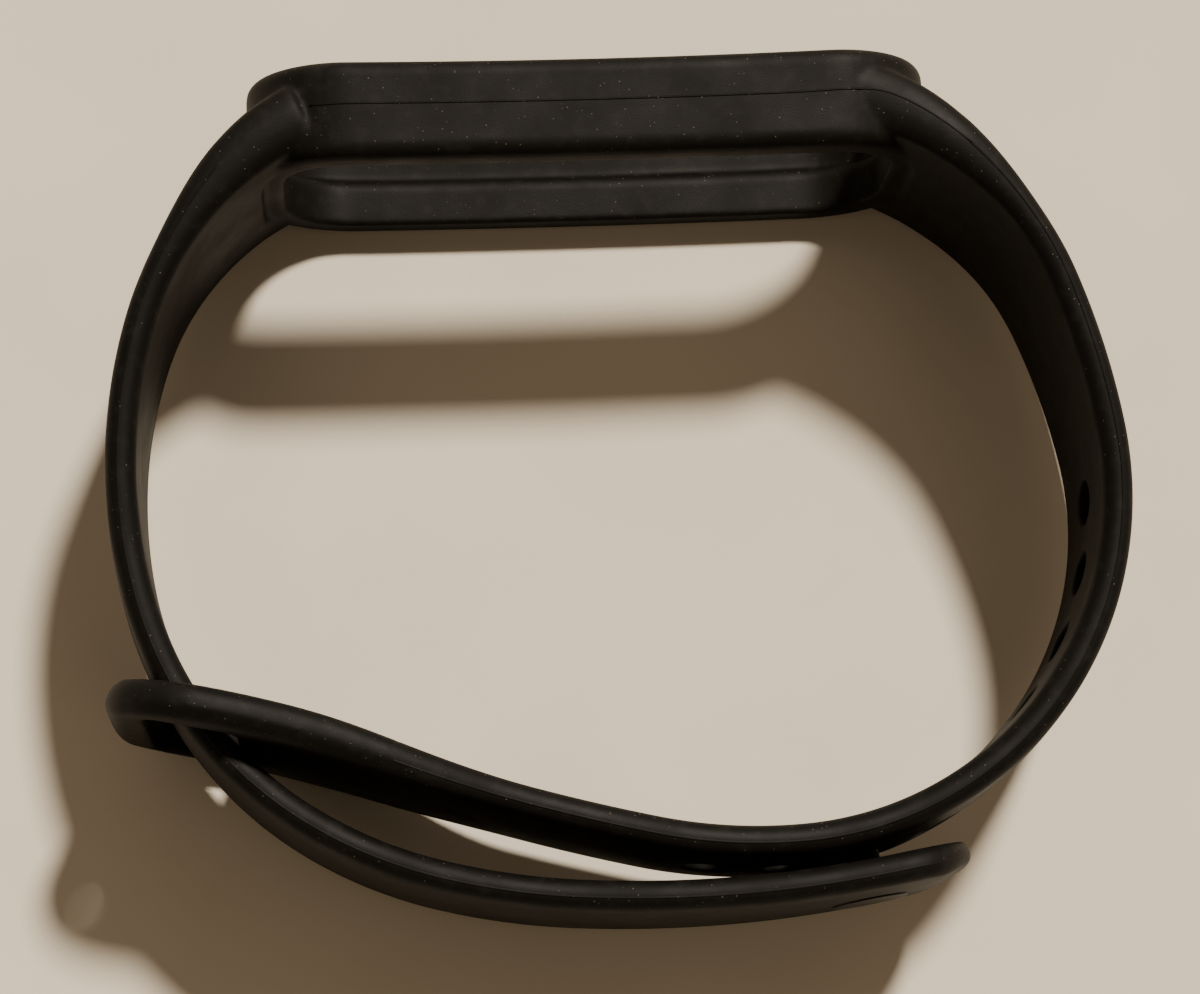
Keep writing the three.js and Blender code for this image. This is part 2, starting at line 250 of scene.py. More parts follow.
def hole_shape(number):
    """A hole's distance along the strap, half its length and half its width."""
    stretch = STUD_HOLE_STRETCH if number == STUD_HOLE else 0.0
    return FIRST_HOLE + number * HOLE_PITCH, (HOLE_LENGTH + stretch) / 2, HOLE_WIDTH / 2


# ---- mesh helpers ----
def wall_faces(rows, size, skipped=()):
    """Quads from each ring of size points to the next ring, except those at (row, point)."""
    faces = []
    for i in range(rows - 1):
        for k in range(size):
            if (i, k) not in skipped:
                n = (k + 1) % size
                faces.append((i * size + k, i * size + n, (i + 1) * size + n, (i + 1) * size + k))
    return faces


def end_faces(rows, size):
    """The faces that close the first ring and the last one."""
    last = (rows - 1) * size
    return [tuple(range(size)), tuple(range(last, last + size))]


def new_object(name, mesh):
    item = bpy.data.objects.new(name, mesh)
    bpy.context.scene.collection.objects.link(item)
    return item


def mesh_object(name, vertices, faces, sharp_faces=()):
    """An object from points in millimetres about the frame's middle, shaded smooth."""
    mesh = bpy.data.meshes.new(name)
    mesh.from_pydata([tuple(v) for v in to_row(vertices)], [], [tuple(f) for f in faces])
    grid = bmesh.new()
    grid.from_mesh(mesh)
    grid.faces.ensure_lookup_table()
    for number in sharp_faces:
        for edge in grid.faces[number].edges:
            edge.smooth = False
    bmesh.ops.recalc_face_normals(grid, faces=grid.faces)
    for face in grid.faces:
        face.smooth = True
    grid.to_mesh(mesh)
    grid.free()
    return new_object(name, mesh)


def applied(item, name, *modifiers):
    """A copy of item's mesh with the modifiers applied, as a new object; item goes."""
    for kind, settings in modifiers:
        modifier = item.modifiers.new(kind, kind)
        for key, value in settings.items():
            setattr(modifier, key, value)
    bpy.context.view_layer.update()
    shown = item.evaluated_get(bpy.context.evaluated_depsgraph_get())
    mesh = bpy.data.meshes.new_from_object(shown)
    result = new_object(name, mesh)
    bpy.data.objects.remove(item)
    return result


def joined(name, items):
    grid = bmesh.new()
    for item in items:
        grid.from_mesh(item.data)
        bpy.data.objects.remove(item)
    mesh = bpy.data.meshes.new(name)
    grid.to_mesh(mesh)
    grid.free()
    return new_object(name, mesh)


def cut_away(item, cutter):
    result = applied(item, item.name, ("BOOLEAN", {
        "operation": "DIFFERENCE", "object": cutter, "solver": "EXACT"}))
    bpy.data.objects.remove(cutter)
    return result


def fused(name, items, smoothing):
    """Overlapping closed meshes as one even skin, with the creases between them rounded."""
    item = joined(name, items)
    return applied(
        item, name,
        ("REMESH", {"mode": "VOXEL", "voxel_size": FINE_VOXEL, "use_smooth_shade": True}),
        ("SMOOTH", {"factor": 0.5, "iterations": smoothing}))


SNAP_PAST = 3.0                 # length beyond the farther distance that is looked at
SNAP_REACH = 0.6                # points farther out than this belong to something else
SNAP_NEAR, SNAP_FADE = 0.1, 0.12    # points up to NEAR from the section move all the way


def snap_to_strap(item, strap, start, full):
    """Moves the skin's points onto the strap's exact section, more so from start to full."""
    world = np.array([v.co for v in item.data.vertices])
    points = (world - np.array(FRAME_MIDDLE)) / MM
    s, depth, z = strap.unbend(points)
    low, high = min(start, full), max(start, full) + SNAP_PAST
    for index in np.nonzero((s > low) & (s < high))[0]:
        half, inner, outer = strap_shape(strap, float(s[index]))
        if abs(depth[index]) > outer + SNAP_REACH or abs(z[index]) > half + SNAP_REACH:
            continue
        ring = section(half, inner, outer)
        after = np.roll(ring, -1, axis=0)
        here = np.array([z[index], depth[index]])
        along = after - ring
        t = ((here - ring) * along).sum(1) / np.maximum((along ** 2).sum(1), 1e-9)
        foot = ring + np.clip(t, 0, 1)[:, None] * along
        gaps = np.linalg.norm(foot - here, axis=1)
        best = int(gaps.argmin())
        weight = float(smooth_step((s[index] - start) / (full - start)))
        weight *= float(np.clip(1 - (gaps[best] - SNAP_NEAR) / SNAP_FADE, 0, 1))
        target = here + (foot[best] - here) * weight
        moved = strap.place(float(s[index]), target[1], target[0])
        item.data.vertices[int(index)].co = Vector(to_row(moved))


def trim(item, strap, s, keep_before):
    """Cuts the skin square across the strap at distance s and closes the cut."""
    x, y, angle = (float(v) for v in strap.at(s))
    normal = Vector((math.cos(angle), math.sin(angle), 0)) * (1 if keep_before else -1)
    grid = bmesh.new()
    grid.from_mesh(item.data)
    everything = grid.verts[:] + grid.edges[:] + grid.faces[:]
    bmesh.ops.bisect_plane(
        grid, geom=everything, dist=1e-7, plane_co=strap.point(s), plane_no=normal,
        clear_outer=True)
    rim = [edge for edge in grid.edges if edge.is_boundary]
    closed = bmesh.ops.holes_fill(grid, edges=rim, sides=0)
    for face in closed["faces"]:
        for edge in face.edges:
            edge.smooth = False
    grid.to_mesh(item.data)
    grid.free()


# ---- strap pieces ----
TIP_FINE = 1.2                  # length of the tail's end with its rings closer together


def rings_to_end(end, length, count):
    """Distances that close up towards a rounded end, without the end itself."""
    turn = np.linspace(0, 1, count)[:-1] * math.pi / 2
    return end - length * (1 - np.sin(turn))


def stations(strap, start, end):
    """Distances of the rings: even steps, and whole cells across each hole's patch."""
    marks = {round(start, 4), round(end, 4)}
    if not strap.is_tail:
        for number in range(HOLE_COUNT):
            centre = hole_shape(number)[0]
            marks |= {m for m in (centre - HOLE_PITCH / 2, centre + HOLE_PITCH / 2)
                      if start < m < end}
    marks = sorted(marks)
    rings = []
    for low, high in zip(marks, marks[1:]):
        count = max(2, math.ceil((high - low) / STATION_STEP))
        if holds_hole(strap, low, high):
            count = HOLE_CELLS
        rings += list(np.linspace(low, high, count + 1)[:-1])
    if strap.is_tail and end == TAIL_TIP:
        rings = [ring for ring in rings if ring < end - TIP_FINE]
        return np.array(rings + list(rings_to_end(end, TIP_FINE, 12)))
    return np.array(rings + [end])


def holds_hole(strap, low, high):
    """Whether this length of strap is one whole patch with a hole in its middle."""
    if strap.is_tail or abs(high - low - HOLE_PITCH) > TOLERANCE:
        return False
    middle = (low + high) / 2
    return any(abs(hole_shape(number)[0] - middle) < TOLERANCE for number in range(HOLE_COUNT))


def hole_sheet(strap, number, first_ring, rings, ring_size, vertices, faces):
    """The sheet from a patch's rim on the outer face, through the hole, to the inner face."""
    centre, half_length, half_width = hole_shape(number)
    cells = HOLE_CELLS
    walk = [(0, k) for k in range(cells)]
    walk += [(i, cells) for i in range(cells)]
    walk += [(cells, k) for k in range(cells, 0, -1)]
    walk += [(i, 0) for i in range(cells, 0, -1)]
    offsets = np.array([
        (rings[first_ring + i] - centre, -HOLE_ZONE + 2 * HOLE_ZONE * k / cells)
        for i, k in walk])
    angle = np.arctan2(offsets[:, 1] / HOLE_ZONE, offsets[:, 0] / (HOLE_PITCH / 2))
    half, inner, outer = strap_shape(strap, centre)

    def oval(extra):
        return np.stack([(half_length + extra) * np.cos(angle),
                         (half_width + extra) * np.sin(angle)], 1)

    flat = half - EDGE_DEPTH
    rise = (outer - inner) / 2

    def face_depth(z, top):
        crown = (z / flat) ** 2 * rise
        return outer - OUTER_CROWN * crown if top else inner + INNER_CROWN * crown

    def rows(top):
        lip = []
        for t in (0.3, 0.6, 0.85):
            spot = mix(offsets, oval(HOLE_LIP), t)
            lip.append((spot, face_depth(spot[:, 1], top)))
        sign = 1 if top else -1
        for turn in np.radians([0, 18, 36, 54, 72, 90]):
            spot = oval(HOLE_LIP * (1 - math.sin(turn)))
            drop = HOLE_LIP * (1 - math.cos(turn)) * sign
            lip.append((spot, face_depth(spot[:, 1], top) - drop))
        return lip

    wall_top, wall_bottom = rows(True), rows(False)[::-1]
    upper, lower = wall_top[-1][1], wall_bottom[0][1]
    wall = [(oval(0), mix(upper, lower, t)) for t in (0.33, 0.67)]
    sheets = wall_top + wall + wall_bottom
    rim_out = [(first_ring + i) * ring_size + OUTER_FIRST + k for i, k in walk]
    rim_in = [(first_ring + i) * ring_size + INNER_FIRST + cells - k for i, k in walk]
    loops = [rim_out]
    for spot, depth in sheets:
        base = len(vertices)
        vertices.extend(strap.place(centre + spot[:, 0], depth, spot[:, 1]))
        loops.append(list(range(base, base + len(walk))))
    loops.append(rim_in)
    for one, two in zip(loops, loops[1:]):
        for k in range(len(walk)):
            n = (k + 1) % len(walk)
            faces.append((one[k], one[n], two[n], two[k]))


def strap_piece(name, strap, start, end):
    """A closed length of strap, with the holes that lie in it."""
    rings = stations(strap, start, end)
    vertices, faces = [], []
    for s in rings:
        ring = section(*strap_shape(strap, float(s)))
        vertices.extend(strap.place(s, ring[:, 1], ring[:, 0]))
    size = len(ring)
    skipped = set()
    for number in range(HOLE_COUNT):
        low = hole_shape(number)[0] - HOLE_PITCH / 2
        if strap.is_tail or low < start - TOLERANCE or low + HOLE_PITCH > end + TOLERANCE:
            continue
        first = int(np.abs(rings - low).argmin())
        hole_sheet(strap, number, first, rings, size, vertices, faces)
        for i in range(first, first + HOLE_CELLS):
            for k in range(HOLE_CELLS):
                skipped.add((i, OUTER_FIRST + k))
                skipped.add((i, INNER_FIRST + k))
    faces += wall_faces(len(rings), size, skipped)
    # The cuts keep sharp rims. The tail's own tip doesn't.
    caps = [len(faces)]
    if not (strap.is_tail and end == TAIL_TIP):
        caps.append(len(faces) + 1)
    faces += end_faces(len(rings), size)
    return mesh_object(name, vertices, faces, caps)


def plain_loft(name, strap, rings, ring_at):
    """A closed loft through rings of (z, depth) at the given distances."""
    vertices = []
    for s in rings:
        ring = ring_at(float(s))
        vertices.extend(strap.place(s, ring[:, 1], ring[:, 0]))
    rows, size = len(rings), len(ring)
    return mesh_object(name, vertices, wall_faces(rows, size) + end_faces(rows, size))


# ---- capsule frame and strap roots ----
CORNER_STEPS, END_STEPS, RAIL_STEPS = 14, 8, 40     # cells of the frame's outline
RAIL_BOW = 0.25                 # how far the rails' wrist side sags at mid length
FRONT_LIFT = 0.4                # how far the frame's front lifts at its two ends


def frame_outline(grow):
    """The frame's outline moved outward by grow, as (x, z) anticlockwise, rails divided too."""
    radius = FRAME_CORNER + grow
    x = FRAME_LENGTH / 2 + grow - radius
    z = FRAME_WIDTH / 2 + grow - radius
    points = []
    corners = ((x, -z, -1), (x, z, 0), (-x, z, 1), (-x, -z, 2))
    for number, (corner_x, corner_z, quarter) in enumerate(corners):
        turn = (quarter + np.linspace(0, 1, CORNER_STEPS + 1)) * math.pi / 2
        points.append(np.stack([corner_x + radius * np.cos(turn),
                                corner_z + radius * np.sin(turn)], 1))
        next_x, next_z, next_quarter = corners[(number + 1) % 4]
        begin = points[-1][-1]
        first = next_quarter * math.pi / 2
        finish = np.array([next_x + radius * math.cos(first), next_z + radius * math.sin(first)])
        steps = END_STEPS if number % 2 == 0 else RAIL_STEPS
        share = np.linspace(0, 1, steps + 1)[1:-1, None]
        points.append(begin + (finish - begin) * share)
    return np.concatenate(points)


def rail_bow(x, y):
    """How far a point of the frame is moved towards the wrist: the wrist side sags at mid
    length, and the front moves the other way towards both ends."""
    share = (FRAME_DEPTH / 2 - y) / FRAME_DEPTH
    towards_end = np.clip((x / (FRAME_LENGTH / 2)) ** 2, 0, 1)
    return RAIL_BOW * share * (1 - towards_end) - FRONT_LIFT * (1 - share) * towards_end


def arc(centre, radius, start, stop, count=6):
    """Points of an arc of a profile, with angles in degrees."""
    turn = np.radians(np.linspace(start, stop, count + 1))
    return [(centre[0] + radius * math.cos(a), centre[1] + radius * math.sin(a)) for a in turn]


def frame_profile():
    """The frame's wall as (inset from the outside, y), going round it once."""
    half = FRAME_DEPTH / 2
    lip, ledge, pocket = 2.0, 2.4, 1.4
    lip_depth, ledge_depth = 1.0, 3.1
    rim, shoulder, small = 0.95, 0.75, 0.22
    points = []
    points += arc((rim, half - rim), rim, 180, 90, 10)
    points += arc((lip - small, half - small), small, 90, 0)
    points += arc((lip - small, half - lip_depth + small), small, 0, -90)
    points += arc((pocket + small, half - lip_depth - small), small, 90, 180)
    points += arc((pocket + small, -half + ledge_depth + small), small, 180, 270)
    points += arc((ledge - shoulder, -half + ledge_depth - shoulder), shoulder, 90, 0, 8)
    points += arc((ledge - small, -half + small), small, 0, -90)
    points += arc((rim, -half + rim), rim, 270, 180, 10)
    return points


def frame_ring(name):
    """The frame's wall, its profile swept round the outline."""
    profile = frame_profile()
    vertices, faces = [], []
    size = 0
    for inset, y in profile:
        outline = frame_outline(-inset)
        size = len(outline)
        vertices.extend(np.stack([outline[:, 0], y - rail_bow(outline[:, 0], y), outline[:, 1]], 1))
    for row in range(len(profile)):
        nxt = (row + 1) % len(profile)
        for k in range(size):
            n = (k + 1) % size
            faces.append((row * size + k, row * size + n, nxt * size + n, nxt * size + k))
    return mesh_object(name, vertices, faces)


def frame_core(name, wall):
    """A block that fills the frame up to a wall's thickness from its outline."""
    outline = frame_outline(-wall)
    size = len(outline)
    vertices = [(x, y, z) for y in (-FRAME_DEPTH, FRAME_DEPTH) for x, z in outline]
    return mesh_object(name, vertices, wall_faces(2, size) + end_faces(2, size))


ROOT_NOSE = 0.45                # rounding of a root's end
ROOT_LAST = 10.0                # how far a root is lofted before it is trimmed
ROOT_CUT = 7.5                  # where the fused roots meet the straps' own pieces
ROOT_WALL = 0.9                 # how far a root reaches into the frame's wall
SNAP_START, SNAP_FULL = 5.6, 7.0    # where a fused root runs over into the strap's section

# Where each root begins, by is_tail: the stud strap's ends in a step, the other one fades.
ROOT_FIRST = {False: -1.6, True: 0.75}


def root_ring(strap, s):
    """A ring of a root: the strap's section, drawn in where the root's nose rounds off."""
    half, inner, outer = strap_shape(strap, max(s, 0.0))
    into_nose = np.clip(1 - (s - ROOT_FIRST[strap.is_tail]) / ROOT_NOSE, 0, 1)
    shrink = ROOT_NOSE * (1 - math.sqrt(max(1 - into_nose ** 2, 0)))
    return section(half - shrink, inner + shrink, outer - shrink)


def frame_and_roots():
    """The frame and both roots as one skin, trimmed square where the straps go on."""
    roots = []
    for name, strap in (("root_a", HOLE_STRAP), ("root_b", STUD_STRAP)):
        first = ROOT_FIRST[strap.is_tail]
        rings = np.concatenate([
            np.linspace(first + 0.01, first + ROOT_NOSE, 10)[:-1],
            np.linspace(first + ROOT_NOSE, ROOT_LAST, 24)])
        root = plain_loft(name, strap, rings, lambda s, strap=strap: root_ring(strap, s))
        roots.append(cut_away(root, frame_core("core", ROOT_WALL)))
    skin = fused("frame_moulding", [frame_ring("ring")] + roots, smoothing=8)
    for strap in (HOLE_STRAP, STUD_STRAP):
        snap_to_strap(skin, strap, SNAP_START, SNAP_FULL)
        trim(skin, strap, ROOT_CUT, keep_before=True)
    return skin


MOULD_LINE_Y = 0.27
MOULD_LINE_FROM, MOULD_LINE_TO = -18.3, 17.1    # its two ends along the rails
MOULD_LINE_SMOOTHING = 12       # passes that ease its run from the rail to the strap

# The line's own section: (how proud of the surface, across).
BEAD = [(-0.12, -0.09), (0.0, -0.075), (0.055, -0.02), (0.055, 0.02), (0.0, 0.075), (-0.12, 0.09)]


def bead(name, path, outward):
    """A fine raised line of rounded section, half sunk into the surface that it follows."""
    side = np.cross(outward, np.gradient(path, axis=0))
    side /= np.linalg.norm(side, axis=1)[:, None]
    rings = [path + outward * proud + side * across for proud, across in BEAD]
    rows, size = len(path), len(BEAD)
    vertices = [rings[k][i] for i in range(rows) for k in range(size)]
    return mesh_object(name, vertices, wall_faces(rows, size) + end_faces(rows, size))


def outline_height(x):
    """Half the frame's height at x."""
    depth = np.clip(np.abs(x) - (FRAME_LENGTH / 2 - FRAME_CORNER), 0, FRAME_CORNER)
    return FRAME_WIDTH / 2 - FRAME_CORNER + np.sqrt(FRAME_CORNER ** 2 - depth ** 2)


def mould_lines():
    """The fine flash of the mould halves on the frame's two rails, running on to one strap."""
    lines = []
    for side in (1, -1):
        path = [(x, MOULD_LINE_Y - rail_bow(x, MOULD_LINE_Y), outline_height(x))
                for x in np.linspace(MOULD_LINE_FROM, MOULD_LINE_TO, 50)]
        level = math.radians(MOULD_LINE_ANGLE)
        for s in np.linspace(-0.3, ROOT_CUT + 0.05, 16):
            half, inner, outer = strap_shape(HOLE_STRAP, max(float(s), 0.0))
            centre, rise = (inner + outer) / 2, (outer - inner) / 2 * (1 - OUTER_CROWN)
            x, y, _ = HOLE_STRAP.place(float(s), centre + rise * math.sin(level), 0.0)
            on_strap = half - EDGE_DEPTH * (1 - math.cos(level))
            path.append((x, y, max(on_strap, float(outline_height(x)))))
        path = np.array(path)
        for _ in range(MOULD_LINE_SMOOTHING):
            path[1:-1, 1] = (path[:-2, 1] + 2 * path[1:-1, 1] + path[2:, 1]) / 4
        path *= [1, 1, side]
        run = np.gradient(path, axis=0)
        outward = np.cross(run, [0.0, 1.0, 0.0]) * side
        outward *= np.sign(outward[:, 2:3]) * side
        outward /= np.linalg.norm(outward, axis=1)[:, None]
        lines.append(bead("mould_line", path, outward))
    return joined("frame_mould_lines", lines)


# ---- keeper loop ----
def loop_ring(s):
    """A ring of the loop's body: corners in plan at its end, and a round nose."""
    half, _, rise = strap_shape(HOLE_STRAP, s)
    from_end = LOOP_END - s
    if from_end < LOOP_CORNER:
        half -= LOOP_CORNER - math.sqrt(max(LOOP_CORNER ** 2 - (LOOP_CORNER - from_end) ** 2, 0))
    nose = LOOP_THICKNESS / 2
    if from_end < nose:
        rise = max(math.sqrt(max(nose ** 2 - (nose - from_end) ** 2, 0)), 0.1)
    return section(half, -rise, rise)


LOOP_CUT = 93.0                 # where the loop's skin meets the punched length
LOOP_OVERLAP = 3.0              # how much earlier its body begins, before it is trimmed
LOOP_FINE, LOOP_STEP = 1.6, 0.35    # length of the finer end, and the step before it
LOOP_SNAP = (94.6, 93.4)        # where the loop's skin runs over into the strap's section
SLOT_CORNER = 0.9
SLOT_REACH = 4.0                # how far the slot's cutter stands out on each side


def keeper_loop():
    """The loop as one skin, its slot cut through it."""
    even = np.arange(LOOP_CUT - LOOP_OVERLAP, LOOP_END - LOOP_FINE, LOOP_STEP)
    rings = np.concatenate([even, rings_to_end(LOOP_END, LOOP_FINE, 16)])
    body = plain_loft("loop", HOLE_STRAP, rings, loop_ring)
    far_end, near_end = SLOT_END - SLOT_CORNER, SLOT_START + SLOT_CORNER
    side = SLOT_WIDTH / 2 - SLOT_CORNER
    outline = []
    for start, centre in ((0, (far_end, side)), (90, (near_end, side)),
                          (180, (near_end, -side)), (270, (far_end, -side))):
        outline += arc(centre, SLOT_CORNER, start, start + 90)
    vertices = [HOLE_STRAP.place(float(s), depth, z)
                for depth in (-SLOT_REACH, SLOT_REACH) for s, z in outline]
    size = len(outline)
    slot = mesh_object("slot", vertices, wall_faces(2, size) + end_faces(2, size))
    skin = fused("keeper_loop_moulding", [cut_away(body, slot)], smoothing=5)
    snap_to_strap(skin, HOLE_STRAP, *LOOP_SNAP)
    trim(skin, HOLE_STRAP, LOOP_CUT, keep_before=False)
    return skin


# ---- stud ----
TURNED_STEPS = 64
LEAST_RADIUS = 0.01             # a profile's point on the axis becomes a ring this small


def turned(name, profile):
    """A turned piece on the stud's axis, from (radius, depth towards the outside)."""
    x, y, angle = (float(v) for v in STUD_STRAP.at(STUD_AT))
    out = np.array([STUD_STRAP.outer * -math.sin(angle), STUD_STRAP.outer * math.cos(angle), 0])
    side = np.array([math.cos(angle), math.sin(angle), 0])
    up = np.array([0, 0, 1.0])
    vertices = []
    for radius, depth in profile:
        for a in np.linspace(0, 2 * math.pi, TURNED_STEPS + 1)[:-1]:
            spot = out * depth + (side * math.cos(a) + up * math.sin(a)) * max(radius, LEAST_RADIUS)
            vertices.append(spot + np.array([x, y, 0]))
    rows, size = len(profile), TURNED_STEPS
    return mesh_object(name, vertices, wall_faces(rows, size) + end_faces(rows, size))


CAP_SUNK = 0.05                 # how far the cap sits in the strap
CAP_RIM = 0.1                   # rounding of the cap's rim


def stud_cap():
    """The flat, slightly domed cap on the outside of the tail."""
    seat = STRAP_THICKNESS / 2 - CAP_SUNK
    top = STRAP_THICKNESS / 2 + CAP_HEIGHT
    profile = [(0, seat), (CAP_RADIUS, seat)]
    profile += arc((CAP_RADIUS - CAP_RIM, top - CAP_RIM), CAP_RIM, 0, 90, 8)
    profile += [(CAP_RADIUS * 0.55, top + 0.02), (CAP_RADIUS * 0.25, top + 0.03), (0, top + 0.035)]
    return turned("stud_cap_moulding", profile)


HEAD_NOSE, HEAD_EDGE = 0.55, 0.2    # roundings of the head's tip and of its back edge


def stud_post():
    """The post through the tail and one hole, with the head that holds it there."""
    x, y, _ = STUD_STRAP.at(STUD_AT)
    hole_x, hole_y, _ = HOLE_STRAP.at(hole_shape(STUD_HOLE)[0])
    spacing = math.hypot(float(hole_x - x), float(hole_y - y))
    tip = -spacing - STRAP_THICKNESS / 2 - HEAD_PROUD
    base = tip + HEAD_HEIGHT
    profile = [(0, tip), (HEAD_RADIUS - HEAD_NOSE, tip)]
    profile += arc((HEAD_RADIUS - HEAD_NOSE, tip + HEAD_NOSE), HEAD_NOSE, -90, 0, 8)
    profile += arc((HEAD_RADIUS - HEAD_EDGE, base - HEAD_EDGE), HEAD_EDGE, 0, 90, 5)
    profile += [(POST_RADIUS + 0.05, base), (POST_RADIUS, base + 0.1)]
    profile += [(POST_RADIUS, STRAP_THICKNESS / 2), (0, STRAP_THICKNESS / 2)]
    return turned("stud_post_moulding", profile)


# ---- materials ----
SPECULAR = 0.11
TONE_SCALE, FILM_SCALE, SHEEN_SCALE, GRAIN_SCALE = 110, 900, 240, 9000
SPECK_CELLS = 3200
GRAIN_DEPTH = 0.00004           # metres
DARKER, LIGHTER = 0.9, 1.12     # how far the tone drifts from the base colour
FILM_COLOUR = (0.10, 0.095, 0.085, 1)
SPECK_COLOUR = (0.26, 0.24, 0.2, 1)


def silicone_material(name, base, roughness, dust, grain):
    """Moulded black silicone: fine matt grain, slow tone changes, handling sheen, dust specks."""
    material = bpy.data.materials.new(name)
    material.use_nodes = True
    tree = material.node_tree
    nodes, links = tree.nodes, tree.links
    shader = nodes["Principled BSDF"]
    shader.inputs["Specular IOR Level"].default_value = SPECULAR
    coordinates = nodes.new("ShaderNodeTexCoord")

    def noise(scale, detail=3.0):
        texture = nodes.new("ShaderNodeTexNoise")
        texture.inputs["Scale"].default_value = scale
        texture.inputs["Detail"].default_value = detail
        links.new(coordinates.outputs["Object"], texture.inputs["Vector"])
        return texture.outputs["Fac"]

    def ramp(value, low, high, colour_low, colour_high):
        node = nodes.new("ShaderNodeMapRange")
        node.inputs["From Min"].default_value = low
        node.inputs["From Max"].default_value = high
        node.inputs["To Min"].default_value = colour_low
        node.inputs["To Max"].default_value = colour_high
        links.new(value, node.inputs["Value"])
        return node.outputs["Result"]

    def mixed(factor, one, two):
        node = nodes.new("ShaderNodeMix")
        node.data_type = "RGBA"
        links.new(factor, node.inputs["Factor"])
        # A Mix node has a set of sockets per data type: these are its two colours.
        for socket, value in ((node.inputs[6], one), (node.inputs[7], two)):
            if isinstance(value, tuple):
                socket.default_value = value
            else:
                links.new(value, socket)
        return node.outputs[2]

    dark = tuple(c * DARKER for c in base) + (1,)
    light = tuple(c * LIGHTER for c in base) + (1,)
    tone = mixed(ramp(noise(TONE_SCALE, 4), 0.3, 0.7, 0, 1), dark, light)
    film = mixed(ramp(noise(FILM_SCALE, 5), 0.52, 0.8, 0, dust * 0.12), tone, FILM_COLOUR)

    # Specks: the small middles of a few Voronoi cells, thinned out by a slow noise.
    cells = nodes.new("ShaderNodeTexVoronoi")
    cells.inputs["Scale"].default_value = SPECK_CELLS
    links.new(coordinates.outputs["Object"], cells.inputs["Vector"])
    middle = ramp(cells.outputs["Distance"], 0.06, 0.16, 1, 0)
    rare = nodes.new("ShaderNodeSeparateColor")
    links.new(cells.outputs["Color"], rare.inputs["Color"])
    few = ramp(rare.outputs["Red"], 0.72, 0.95, 0, 1)
    both = nodes.new("ShaderNodeMath")
    both.operation = "MULTIPLY"
    links.new(middle, both.inputs[0])
    links.new(few, both.inputs[1])
    speck = ramp(both.outputs[0], 0, 1, 0, dust)
    colour = mixed(speck, film, SPECK_COLOUR)
    links.new(colour, shader.inputs["Base Color"])

    rough = ramp(noise(SHEEN_SCALE, 4), 0.3, 0.7, roughness - 0.07, roughness + 0.07)
    links.new(rough, shader.inputs["Roughness"])

    bump = nodes.new("ShaderNodeBump")
    bump.inputs["Strength"].default_value = grain
    bump.inputs["Distance"].default_value = GRAIN_DEPTH
    links.new(noise(GRAIN_SCALE, 2), bump.inputs["Height"])
    links.new(bump.outputs["Normal"], shader.inputs["Normal"])
    return material


# ---- assembly ----
SILICONE = silicone_material("band_silicone", (0.0028, 0.0026, 0.0021), 0.58, 0.4, 0.25)
STUD = silicone_material("stud_plastic", (0.0028, 0.0028, 0.0026), 0.45, 0.3, 0.1)


def finish_piece(piece, material, slot_name, *nodes):
    """Give a piece its material and hide the nodes it stands for; slot_name is not used."""
    piece.data.materials.clear()
    piece.data.materials.append(material)
    if nodes:
        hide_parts(*nodes)


def riding(piece, body, *nodes, material=None, slot_name="band_silicone"):
    """A piece that moves with one body only."""
    finish_piece(piece, material or SILICONE, slot_name, *nodes)
    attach(piece, body)


BLEND_MARGIN = 0.8              # length in from each end of a stretch, where a point of the strap is worked out and not used


def bending(name, strap, start, end, body_a, body_b, *nodes):
    """A stretch of strap from one cut to the next, baked in place: it moves with neither body."""
    piece = strap_piece(name, strap, start, end)
    finish_piece(piece, SILICONE, "band_silicone", *nodes)
    strap.point(start + BLEND_MARGIN)
    strap.point(end - BLEND_MARGIN)
    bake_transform(piece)


riding(frame_and_roots(), "frame", "capsule_frame", "hole_strap_root", "stud_strap_root")
riding(mould_lines(), "frame")

HOLE_CUTS = [ROOT_CUT, 16.0, 28.0, 44.5, 54.5]
HOLE_BODIES = ["frame", "hole_flex_1", "hole_flex_2", "hole_flex_3", "hole_end"]
HOLE_NODES = ["hole_strap_link_1", "hole_strap_link_2", "hole_strap_link_3", "hole_strap_link_4"]
for number in range(4):
    bending(f"hole_strap_skin_{number + 1}", HOLE_STRAP, HOLE_CUTS[number], HOLE_CUTS[number + 1],
            HOLE_BODIES[number], HOLE_BODIES[number + 1], HOLE_NODES[number])
riding(strap_piece("hole_strap_skin_5", HOLE_STRAP, HOLE_CUTS[-1], LOOP_CUT), "hole_end",
       "hole_strap_link_5", "hole_strap_link_6")
riding(keeper_loop(), "hole_end", "keeper_loop")

STUD_CUTS = [ROOT_CUT, 14.5, 25.5, 36.0, 47.5, 58.0, 66.0, 74.0, 82.0]
STUD_BODIES = ["frame", "stud_flex_1", "stud_flex_2", "stud_flex_3", "stud_flex_4",
               "tail_1", "tail_2", "tail_3", "tail_end"]
STUD_NODES = [f"stud_strap_link_{number}" for number in range(1, 8)]

# There are eight stretches for seven links: the last one stands for no node.
for number in range(8):
    bending(f"stud_strap_skin_{number + 1}", STUD_STRAP, STUD_CUTS[number], STUD_CUTS[number + 1],
            STUD_BODIES[number], STUD_BODIES[number + 1], *STUD_NODES[number:number + 1])
riding(strap_piece("stud_strap_skin_9", STUD_STRAP, STUD_CUTS[-1], TAIL_TIP), "tail_end",
       "stud_strap_tip")
riding(stud_cap(), "tail_end", "stud_cap", material=STUD, slot_name="stud_plastic")
riding(stud_post(), "tail_end", "stud_post", material=STUD, slot_name="stud_plastic")


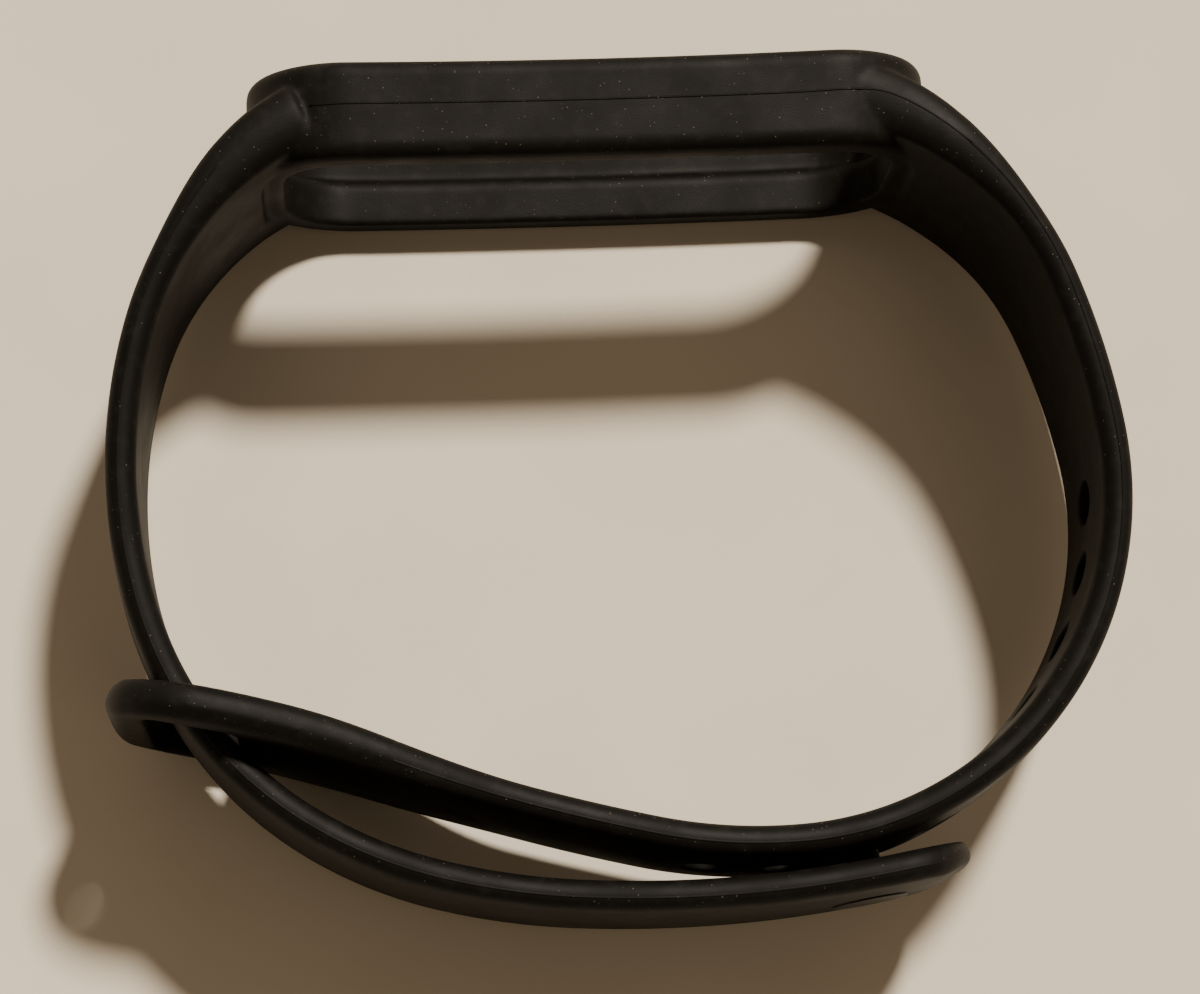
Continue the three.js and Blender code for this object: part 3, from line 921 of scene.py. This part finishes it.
# ---- floor, light and camera ----
def paper_floor():
    """The sheet of warm paper that the band lies on."""
    mesh = bpy.data.meshes.new("paper")
    size = 1.5
    mesh.from_pydata([(-size, -size, 0), (size, -size, 0), (size, size, 0), (-size, size, 0)],
                     [], [(0, 1, 2, 3)])
    floor = new_object("paper", mesh)
    material = bpy.data.materials.new("paper")
    material.use_nodes = True
    nodes, links = material.node_tree.nodes, material.node_tree.links
    shader = nodes["Principled BSDF"]
    shader.inputs["Roughness"].default_value = 0.8
    shader.inputs["Specular IOR Level"].default_value = 0.2
    coordinates = nodes.new("ShaderNodeTexCoord")
    texture = nodes.new("ShaderNodeTexNoise")
    texture.inputs["Scale"].default_value = 60
    texture.inputs["Detail"].default_value = 6
    links.new(coordinates.outputs["Object"], texture.inputs["Vector"])
    ramp = nodes.new("ShaderNodeValToRGB")
    ramp.color_ramp.elements[0].position = 0.3
    ramp.color_ramp.elements[0].color = (0.58, 0.535, 0.445, 1)
    ramp.color_ramp.elements[1].position = 0.7
    ramp.color_ramp.elements[1].color = (0.62, 0.575, 0.485, 1)
    links.new(texture.outputs["Fac"], ramp.inputs["Fac"])
    links.new(ramp.outputs["Color"], shader.inputs["Base Color"])
    mesh.materials.append(material)


def lights():
    """Low sun through a window, with a dim warm room round it."""
    sun = bpy.data.lights.new("window", "SUN")
    sun.energy = 7.0
    sun.angle = math.radians(7)
    sun.color = (1.0, 0.885, 0.75)
    lamp = bpy.data.objects.new("window", sun)
    towards_light = Vector((0.37, 0.7, 1.0))
    lamp.rotation_euler = towards_light.to_track_quat("Z", "Y").to_euler()
    bpy.context.scene.collection.objects.link(lamp)
    world = bpy.data.worlds.new("room")
    world.use_nodes = True
    background = world.node_tree.nodes["Background"]
    background.inputs["Color"].default_value = (1.0, 0.76, 0.53, 1)
    background.inputs["Strength"].default_value = 0.3
    bpy.context.scene.world = world


# The camera looks down on the band from the buckle side, with a slight roll.
CAMERA_PLACE = (-16.44, -74.44, 265.8)      # millimetres about the frame's middle
CAMERA_FORWARD = (0.0619, 0.189, -1.0)
CAMERA_ROLL = 0.0431
FOCAL_LENGTH = 123.0


def camera():
    data = bpy.data.cameras.new("camera")
    data.sensor_width = 36
    data.lens = FOCAL_LENGTH
    item = bpy.data.objects.new("camera", data)
    bpy.context.scene.collection.objects.link(item)
    forward = Vector(CAMERA_FORWARD).normalized()
    up_hint = Vector((math.sin(CAMERA_ROLL), math.cos(CAMERA_ROLL), 0))
    right = forward.cross(up_hint).normalized()
    up = right.cross(forward)
    turn = Matrix((right, up, -forward)).transposed().to_4x4()
    item.matrix_world = Matrix.Translation(to_row(CAMERA_PLACE)) @ turn
    bpy.context.scene.camera = item


paper_floor()
lights()
camera()
